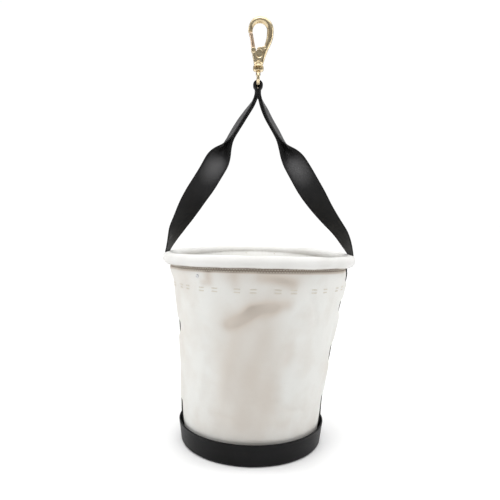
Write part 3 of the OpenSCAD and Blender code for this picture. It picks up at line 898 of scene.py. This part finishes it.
def tack_threads():
    """Each bar tack is two close zigzags of thread, one above the other."""
    spots = []
    for k in range(POCKETS):
        for side in (-1, 1):
            turn = FRONT + (PHASE + k * PITCH + side * 7.2) * DEG
            if abs(math.sin(turn + math.pi)) < math.sin(9 * DEG):
                continue
            for i in range(2 * TACK_ROW):
                z = POCKET_Z1 + (TACK_GAP if i < TACK_ROW else -TACK_GAP) / 2
                t = turn + TACK_STEP * (i % TACK_ROW - (TACK_ROW - 1) / 2) / TOP_R
                centre, way, up = wall_point(t, z, 0.15)
                lean = 0.3 if i % 2 else -0.3
                spots.append((centre, lean * way + np.array([0, 0, 1]), up))
    threads("tack_threads", spots, 2.0, TACK, "bucket", "bar_tacks")


tack_threads()

# ------------ pockets


def pocket_cloth(k):
    """One sewn pocket: flat at its seams, its front rounded out towards the axis."""
    turn0 = FRONT + (PHASE + k * PITCH) * DEG
    rng = np.random.default_rng(100 + k)
    thick, rows = 1.4, 44
    v = np.linspace(0, 1, rows)
    z = POCKET_Z0 + (POCKET_Z1 - POCKET_Z0) * v
    # Where the cloth lies flat at a seam, in degrees from the pocket's middle
    sewn = (11.9, 9.5, 7.4, 6.5)
    front = arc(0, 3.6, 14.2, 0, 180, 23)
    rings, cloth_u = [], []
    full = smooth(-0.02, 0.22, v) * (0.94 + 0.06 * np.cos(rng.uniform(0, 6) + 3 * v))
    lean = rng.uniform(-0.8, 0.8)
    for i in range(rows):
        base = wall_r(np.array(turn0), np.array(z[i])) - CANVAS_T - 0.25 - thick / 2
        line = [(base * math.sin(d * DEG), 0.0) for d in sewn]
        flatten = 0.12 + 0.88 * full[i]
        line += [(x * (1 + 0.06 * (1 - full[i])) + lean * y / 14, y * flatten)
                 for x, y in front]
        line += [(-base * math.sin(d * DEG), 0.0) for d in sewn[::-1]]
        line = np.array(line)
        fold = 0.35 * waves(200 + k, line[:, 0] / 15, np.full(len(line), z[i]), 6, (1, 4),
                            (0.02, 0.06)) * full[i]
        line[:, 1] = np.maximum(line[:, 1] + fold * (line[:, 1] > 1), 0)
        along, out = run(line), left_of(line)
        both = []
        for side in (1, -1):
            p = line + side * out * thick / 2
            d = p[:, 0] / base
            r = wall_r(turn0 + d, np.full(len(d), z[i])) - CANVAS_T - 0.25 - thick / 2 - p[:, 1]
            both.append(round_points(r, turn0 + d, z[i]))
        rings.append(np.concatenate([both[0], both[1][::-1]]))
        cloth_u.append(np.concatenate([along, along[::-1]]))
    u = np.array(cloth_u)
    uv = np.stack(np.broadcast_arrays(u, z[:, None]), -1)
    stain_and_painted_light = np.clip(0.25 + 0.3 * waves(300 + k, uv[..., 0] / 20, uv[..., 1], 8), 0, 1)
    obj = cloth(f"pocket_cloth_{k + 1:02d}", np.array(rings), uv, POCKET, "bucket",
                f"pocket_{k + 1:02d}", "pocket_canvas", stain_and_painted_light)


for number in range(POCKETS):
    pocket_cloth(number)

# ------------ pan


def pan_moulded():
    """The moulded pan, with twelve low ribs under its floor."""
    mid = (PAN_FOOT_R - PAN_CORNER_R, PAN_CORNER_R)
    outline = [(0.3, 1.2), (60, 1.2), (PAN_RECESS_R - 0.4, 1.2), (PAN_RECESS_R, 0.8),
               (PAN_RECESS_R + 0.1, 0.3), (PAN_RECESS_R + 0.6, 0.0), (mid[0] - 0.5, 0.0)]
    outline += arc(*mid, PAN_CORNER_R, -90, -2, 12)
    outline += [(PAN_FOOT_R + (PAN_LIP_R - PAN_FOOT_R) * s, PAN_CORNER_R + 29.6 * s)
                for s in np.linspace(0.04, 0.96, 10)]
    outline += arc(PAN_LIP_R - PAN_T / 2, PAN_H - PAN_T / 2, PAN_T / 2, -6, 186, 14)
    outline += [(PAN_LIP_R - PAN_T - 0.12, 33), (PAN_FOOT_R - PAN_T + 0.35, PAN_CORNER_R + 2)]
    outline += arc(*mid, PAN_CORNER_R - PAN_T, -4, -90, 6)
    outline += [(mid[0] - 4, PAN_T), (50, PAN_T), (0.3, PAN_T)]
    points, faces = lathe(outline, 192)
    points, count = [points], len(points)
    for k in range(12):
        a = k * 30 * DEG
        box = np.array([(x, y, z) for x in (20, 97.5) for y in (-1.2, 1.2) for z in (0.2, 1.4)])
        box[:, 1] *= np.where(box[:, 2] < 1, 0.75, 1)
        points.append(box @ np.array(Matrix.Rotation(-a, 3, "Z")))
        for f in ((0, 1, 3, 2), (4, 6, 7, 5), (0, 4, 5, 1), (2, 3, 7, 6), (0, 2, 6, 4),
                  (1, 5, 7, 3)):
            faces.append(tuple(count + i for i in f))
        count += 8
    piece("pan_moulded", np.concatenate(points), faces, PAN, "bucket", "base_pan",
          "moulded_pan")


pan_moulded()

# ------------ straps on the bucket


def riser(name, node, sign):
    """Webbing up the wall, under and round the hoop inside the roll, and out at its top."""
    lift = 0.15 + WEB_T / 2
    zs = np.linspace(3.6, 295, 97)
    line = [(FOOT_R + SLOPE * (z - CANVAS_Z0) + float(np.interp(z, BELLY_Z, BELLY)) + lift, z)
            for z in zs]
    line += arc(RIM_C, RIM_Z, STRAP_R - RIM_C, -110, 0, 18)
    line = np.array(line + [(STRAP_R, z) for z in np.linspace(307.5, 310.5, 4)])
    along, out = run(line), -left_of(line)
    section, s = strip_section(WEB_W)
    rings, uvs = [], []
    side = 0.0 if sign > 0 else math.pi
    for i, (r, z) in enumerate(line):
        turn = section[:, 0] / r
        shift = 1.0 if 40 < z < 288 else max(0.0, min(1.0, (298 - z) / 10)) * (z > 40)
        wall = wall_r(side + turn * sign, np.full(len(turn), min(z, 290.0)))
        plain = FOOT_R + SLOPE * (min(z, 290.0) - CANVAS_Z0) + np.interp(z, BELLY_Z, BELLY)
        r_all = r + section[:, 1] * out[i, 0] + shift * (wall - plain)
        z_all = z + section[:, 1] * out[i, 1]
        rings.append(np.stack([sign * r_all * np.cos(turn), r_all * np.sin(turn), z_all], -1))
        uvs.append(np.stack(np.broadcast_arrays(s, along[i]), -1))
    rings = np.array(rings)
    # Darker towards the top: painted shade where the strap goes in under the roll
    stain_and_painted_light = 0.5 + 0.4 * smooth(290, 300, rings[..., 2])
    cloth(name, rings, np.array(uvs), WEBBING, "bucket", node, "webbing", stain_and_painted_light)


riser("riser_right", "strap_riser_right", 1)
riser("riser_left", "strap_riser_left", -1)


def riser_threads():
    """A row of thread near each edge of both straps."""
    spots = []
    for sign in (1, -1):
        for y in (-15.0, 15.0):
            for z in np.arange(46, 288, 4.2):
                side = 0.0 if sign > 0 else math.pi
                r = wall_r(np.array(side + y / FLAT_R * sign), np.array(z)) + 0.25 + WEB_T
                out = np.array([sign * math.cos(y / r), math.sin(y / r), 0])
                spots.append((r * out + np.array([0, 0, z]), (sign * SLOPE, 0, 1), out))
    threads("riser_threads", spots, 3.4, THREAD, "bucket", "riser_stitching")


riser_threads()

# ------------ handle

# The leg's middle line, as heights and distances from the axis
LEG_Z = [307, 314, 323, 333, 343, 362, 382, 402, 421, 441, 460, 470, 479, 489, 499, 508, 528,
         546, 556, 562, 567]
LEG_X = [153.5, 152.6, 149, 143, 137, 123, 110, 97, 83.7, 71.6, 60.6, 54.4, 48.6, 43.6, 38.5, 33,
         20.8, 10.4, 4.8, 2.6, 2.3]
# How far the webbing has turned its face to the front at a few heights
TWIST_Z = [307, 316, 323, 333, 353, 372, 392, 412, 430, 446, 460, 475, 488, 505, 525, 545, 558]
TWIST = [0, 2, 9, 20, 34, 47, 60, 74, 87, 90, 85, 75, 66, 60, 60, 67, 84]
# How far each half of it is folded towards the front
FOLD_Z = [440, 452, 460, 470, 480, 490, 500, 512]
FOLD = [0, 8, 24, 50, 74, 83, 86, 87]


def even_line(line, count, rounds):
    """Points evenly along a flat line, softened, and how far along each one is."""
    line = np.array(line, float)
    d = run(line)
    even = np.linspace(0, d[-1], count)
    return softened(np.stack([np.interp(even, d, v) for v in line.T], -1), rounds), even


def leg(name, node, sign, seed):
    """One end of the sling from inside the roll to the neck: twisted, then folded."""
    line, along = even_line(list(zip(LEG_X, LEG_Z)), 170, 24)
    way2 = unit(np.gradient(line, axis=0))
    z = line[:, 1]
    twist = softened(np.interp(z, TWIST_Z, TWIST), 20)
    if sign < 0:
        twist = twist - 0.45 * twist * (1 - smooth(316, 350, z))
    fold = softened(2 * np.interp(z, FOLD_Z, FOLD), 6)
    bend = 10 - 8.2 * smooth(462, 500, z)
    cup = 1.8 * hill(350, 430, 446, 470, z)
    early = 1 - smooth(318, 345, z)
    swell = -7 * hill(370, 436, 440, 505, z)
    rings, uvs, stain_and_painted_light = [], [], []
    for i in range(len(line)):
        width = WEB_W * (0.965 + 0.065 * smooth(318, 400, z[i]))
        section, s = strip_section(width, fold[i], LEG_T, bend[i], 0.0)
        bow = cup[i] * ((s / 19) ** 2 - 0.4) + early[i] * s * s / (2 * STRAP_R)
        ripple = 0.5 * math.sin(along[i] / 23 + seed) * smooth(340, 380, z[i])
        section = section + np.stack([0 * s, bow + ripple * s / 19], -1)
        a = twist[i] * DEG
        d = way2[i]
        across = np.array([-d[1] * math.sin(a), math.cos(a), d[0] * math.sin(a)])
        ahead = np.array([d[0], 0, d[1]])
        centre = np.array([line[i, 0], swell[i], line[i, 1]])
        rings.append(ring_of(centre, ahead, across, section))
        uvs.append(np.stack(np.broadcast_arrays(s, along[i]), -1))
        # Painted light: shade on the edges and in the trough, highlight as sheen and on the
        # ribbon
        edge = 0.4 * smooth(15.5, 18.6, np.abs(s))
        sheen = 0.5 * math.exp(-((z[i] - 448) / 26) ** 2) * (1 - (s / 21) ** 2)
        trough_shade = 0.7 * math.exp(-((z[i] - 480) / 11) ** 2) * (1 - smooth(10, 18, np.abs(s)))
        ribbon_light = 0.42 * hill(484, 500, 550, 560, z[i])
        stain_and_painted_light.append(np.clip(0.62 + edge + trough_shade - sheen - ribbon_light, 0, 1))
    rings = np.array(rings) * np.array([sign, 1, 1])
    obj = cloth(name, rings, np.array(uvs), WEBBING, None, node, "webbing", np.array(stain_and_painted_light))
    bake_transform(obj)


leg("leg_right", "strap_leg_right", 1, 0.4)
leg("leg_left", "strap_leg_left", -1, 2.1)


def loop_webbing():
    """The folded strap goes up one side of the neck, round the eye's bar and down again."""
    neck, round_r = 2.15, WIRE_R + 0.2 + LEG_T
    side = [(neck, z) for z in np.linspace(560, 573.6, 8)] + [(2.5, 574.9)]
    line = side + arc(0, EYE_Z, round_r, -50, 230, 44)
    line, along = even_line(line + [(-x, z) for x, z in side[::-1]], 110, 3)
    way2 = unit(np.gradient(line, axis=0))
    rings, uvs = [], []
    for i in range(len(line)):
        squeeze = 1 - 0.29 * smooth(562, 576, line[i, 1])
        section, s = strip_section(WEB_W, 174, 2.0, 1.6)
        section = section * np.array([squeeze, 1.0])
        ahead = np.array([way2[i, 0], 0, way2[i, 1]])
        centre = np.array([line[i, 0], 0, line[i, 1]])
        rings.append(ring_of(centre, ahead, np.array([0, 1.0, 0]), section))
        uvs.append(np.stack(np.broadcast_arrays(s, along[i]), -1))
    rings = np.array(rings)
    cloth("loop_webbing", rings, np.array(uvs), WEBBING, "handle", "strap_loop", "webbing",
          np.full(rings.shape[:2], 0.62))


loop_webbing()


def neck_threads():
    """The dark stitching that holds the folded straps together under the eye."""
    spots = []
    for sign in (1, -1):
        for row in range(5):
            z = 562.5 + 1.8 * row
            for k in range(5):
                y = -5.6 + 2.8 * k
                centre = (sign * (4.42 + 0.1 * (row == 0)), y, z + 0.3 * (k % 2))
                spots.append((centre, (0, 1, 0.3 if k % 2 else -0.3), (sign, 0, 0)))
    threads("neck_threads", spots, 2.7, BLACK, "handle", "neck_stitching", "black_thread", 0.4)


neck_threads()

# ------------ swivel snap

STEP = 0.45


def eye_shape(x, y, z):
    """A rounded wire frame with the stem and the head that the hook turns on."""
    top = COLLAR_Z - WIRE_R - 1
    bend, flat_half = 8.0, 7.0
    path = []
    for cy, cz, a0 in ((flat_half, EYE_Z + bend, -90), (flat_half, top - bend, 0),
                       (-flat_half, top - bend, 90), (-flat_half, EYE_Z + bend, 180)):
        path += [(0, y1, z1, WIRE_R - 0.15) for y1, z1 in arc(cy, cz, bend, a0, a0 + 90, 8)]
    path.append(path[0])
    ring = bar(x, y, z, path)
    stem = post(x, y, z, top - 1, COLLAR_Z + 14, 3.1, 0.3)
    boss = post(x, y, z, top - 2.8, COLLAR_Z - 0.35, 3.6, 1.2)
    head = post(x, y, z, COLLAR_Z + 12.5, COLLAR_Z + 15.5, 4.7, 0.8)
    return np.minimum(melt(melt(ring, boss, 2.4), stem, 0.8), head)


piece("eye_forged", *solid((-8, -20, 575), (8, 20, 619), STEP, eye_shape), BRASS, "eye",
      "swivel_eye", "snap_brass")


def hook_shape(x, y, z):
    """The hook's bow and shank, the collar that turns on the eye, and the gate's slot."""
    bow = [(9.0, 0, 632, 3.4), (12.6, 0, 640, 4.2), (15.6, 0, 648, 4.8), (17.6, 0, 656, 5.2)]
    for a in np.linspace(0, 196, 24):
        thick = 5.35 - 1.75 * float(smooth(95, 175, a))
        r = BOW_R - 4.75 + thick
        bow.append((BOW_X + r * math.cos(a * DEG), 0, BOW_Z + r * math.sin(a * DEG), thick))
    body = bar(x, y, z, bow, 1.06)
    web = plate(x, y, z, [(-5.6, 612), (5.6, 612), (9.0, 624), (14.2, 636), (9, 640.8),
                          (-4, 639.0), (-10.4, 634), (-8.4, 623)], 2.9, 0.9)
    left = bar(x, y, z, [(-4.6, 0, 612.5, 2.6), (-6.6, 0, 623, 2.6), (-8.0, 0, 632, 3.0)], 0.8)
    right = bar(x, y, z, [(4.8, 0, 612.5, 2.6), (7.4, 0, 623, 2.8), (11.0, 0, 635, 3.6)], 0.8)
    ears = pin(x, y, z, GATE_X, GATE_Z, 4.1, 4.5, 0.9)
    collar = post(x, y, z, COLLAR_Z, COLLAR_Z + 10.4, 8.6, 3.4)
    neck = post(x, y, z, COLLAR_Z + 6, COLLAR_Z + 13.2, 6.6, 1.2)
    for part, fillet in ((web, 2.5), (left, 1.2), (right, 1.2), (ears, 1.0), (neck, 1.6),
                         (collar, 0.8)):
        body = melt(body, part, fillet)
    bore = post(x, y, z, COLLAR_Z - 3, COLLAR_Z + 14, 3.45, 0.2)
    niche = np.maximum(np.abs(x) - 6.4, np.abs(z - (COLLAR_Z + 4.6)) - 2.7)
    niche = np.maximum(niche, 2.4 - np.abs(y))
    window = np.maximum(np.abs(x) - 2.9, np.abs(z - (COLLAR_Z + 14.5)) - 2.2)
    dish = np.hypot((x - 0.9) / 5.6, (z - 629.6) / 6.3) * 5.9 - 5.9
    dish = np.maximum(dish, 2.35 - np.abs(y))
    dot = np.maximum(np.hypot(x + 14.1, z - 663.0) - 1.05, 0.9 - np.abs(y))
    slot_half = 3.35
    knuckle = pin(x, y, z, GATE_X, GATE_Z, 4.2, slot_half, 0.2)
    mouth = plate(x, y, z, [(GATE_X - 6.5, GATE_Z - 0.5), (GATE_X + 5, GATE_Z - 0.5),
                            (-1.4, GATE_Z + 7), (GATE_X - 6.5, GATE_Z + 7)], slot_half, 0.1)
    seat = np.hypot(x - GATE_X, z - GATE_Z) - (GATE_REACH + 0.55)
    seat = np.maximum(np.maximum(seat, x + 0.8), GATE_Z + 4 - z)
    for cut, fillet in ((bore, 0.4), (niche, 0.8), (window, 0.6), (dish, 1.4), (dot, 0.2),
                        (knuckle, 0.3), (mouth, 0.3), (seat, 0.3)):
        body = carve(body, cut, fillet)
    return body


piece("hook_forged", *solid((-20, -11, 598), (25, 11, 690), STEP, hook_shape), BRASS, "hook",
      "hook_body", "snap_brass")


def gate_shape(x, y, z):
    """The sprung gate: a knuckle on the pin, an arm and a cupped tip under the bow's end."""
    knuckle = pin(x, y, z, GATE_X, GATE_Z, 3.7, 3.05, 0.6)
    arm = bar(x, y, z, [(GATE_X - 0.2, 0, GATE_Z + 3, 3.1), (-10.3, 0, 648, 2.9),
                        (-12.6, 0, GATE_Z + 24.6, 2.9)], 0.96)
    tip = pin(x, y, z, -12.9, GATE_Z + 24.6, 3.1, 2.9, 0.8)
    body = melt(melt(knuckle, arm, 1.6), tip, 0.8)
    body = np.maximum(body, np.hypot(x - GATE_X, z - GATE_Z) - (GATE_REACH - 0.1))
    return carve(body, pin(x, y, z, GATE_X, GATE_Z, 1.75, 6, 0.1), 0.2)


piece("gate_forged", *solid((-19, -5, 627), (0, 5, 666), 0.35, gate_shape), GATE, "gate",
      "gate", "gate_brass")

# ------------ carried-over CAD pieces

CAD_LOOKS = {
    "pan_rivets": STEEL, "under_strap": WEBBING_CAD,
    "gate_pin": BRASS, "gate_spring": STEEL,
}
for node_name, look in CAD_LOOKS.items():
    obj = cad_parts[node_name]
    obj.data.materials.clear()
    obj.data.materials.append(look)
